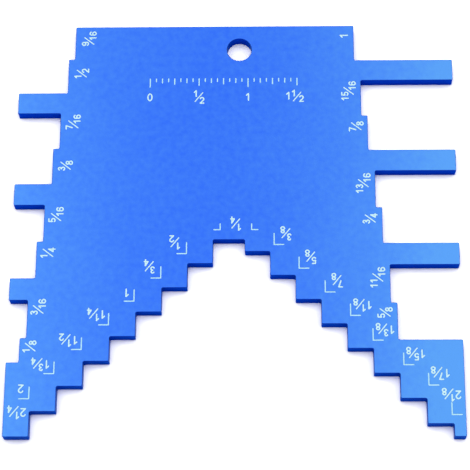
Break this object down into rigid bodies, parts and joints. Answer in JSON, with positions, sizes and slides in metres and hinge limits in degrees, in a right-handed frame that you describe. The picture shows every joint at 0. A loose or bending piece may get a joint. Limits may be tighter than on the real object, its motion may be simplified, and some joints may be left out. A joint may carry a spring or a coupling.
{
  "type": "blade height gauge",
  "caption": "Flat stepped gauge for saw blade height and router bit depth, with a stepped vee between two feet, notched sides, numbered steps and a hanging hole.",
  "frame": {"origin": "on the underside, under the middle of the sheet's bounding box", "axes": "+X to the right across the engraved face, +Y up the face from the feet to the hanging hole, +Z out of the engraved face"},
  "size_m": [0.1124, 0.1106, 0.0032],
  "materials": {
    "anodised_sheet": "fine matt anodising, dyed blue",
    "mark_paint": "satin white fill paint in the engraving"
  },
  "bodies": {
    "root": {"gauge_plate": "anodised_sheet", "router_number_1": "mark_paint", "router_number_11_16": "mark_paint", "router_number_13_16": "mark_paint", "router_number_15_16": "mark_paint", "router_number_1_2": "mark_paint", "router_number_1_4": "mark_paint", "router_number_1_8": "mark_paint", "router_number_3_16": "mark_paint", "router_number_3_4": "mark_paint", "router_number_3_8": "mark_paint", "router_number_5_16": "mark_paint", "router_number_5_8": "mark_paint", "router_number_7_16": "mark_paint", "router_number_7_8": "mark_paint", "router_number_9_16": "mark_paint", "saw_corner_1": "mark_paint", "saw_corner_1_1_2": "mark_paint", "saw_corner_1_1_4": "mark_paint", "saw_corner_1_1_8": "mark_paint", "saw_corner_1_2": "mark_paint", "saw_corner_1_3_4": "mark_paint", "saw_corner_1_3_8": "mark_paint", "saw_corner_1_4": "mark_paint", "saw_corner_1_5_8": "mark_paint", "saw_corner_1_7_8": "mark_paint", "saw_corner_2": "mark_paint", "saw_corner_2_1_8": "mark_paint", "saw_corner_3_4": "mark_paint", "saw_corner_3_8": "mark_paint", "saw_corner_5_8": "mark_paint", "saw_corner_7_8": "mark_paint", "saw_number_1": "mark_paint", "saw_number_1_1_2": "mark_paint", "saw_number_1_1_4": "mark_paint", "saw_number_1_1_8": "mark_paint", "saw_number_1_2": "mark_paint", "saw_number_1_3_4": "mark_paint", "saw_number_1_3_8": "mark_paint", "saw_number_1_4": "mark_paint", "saw_number_1_5_8": "mark_paint", "saw_number_1_7_8": "mark_paint", "saw_number_2": "mark_paint", "saw_number_2_1_4": "mark_paint", "saw_number_2_1_8": "mark_paint", "saw_number_3_4": "mark_paint", "saw_number_3_8": "mark_paint", "saw_number_5_8": "mark_paint", "saw_number_7_8": "mark_paint", "scale_numbers": "mark_paint", "scale_ticks": "mark_paint"}
  },
  "joints": []
}
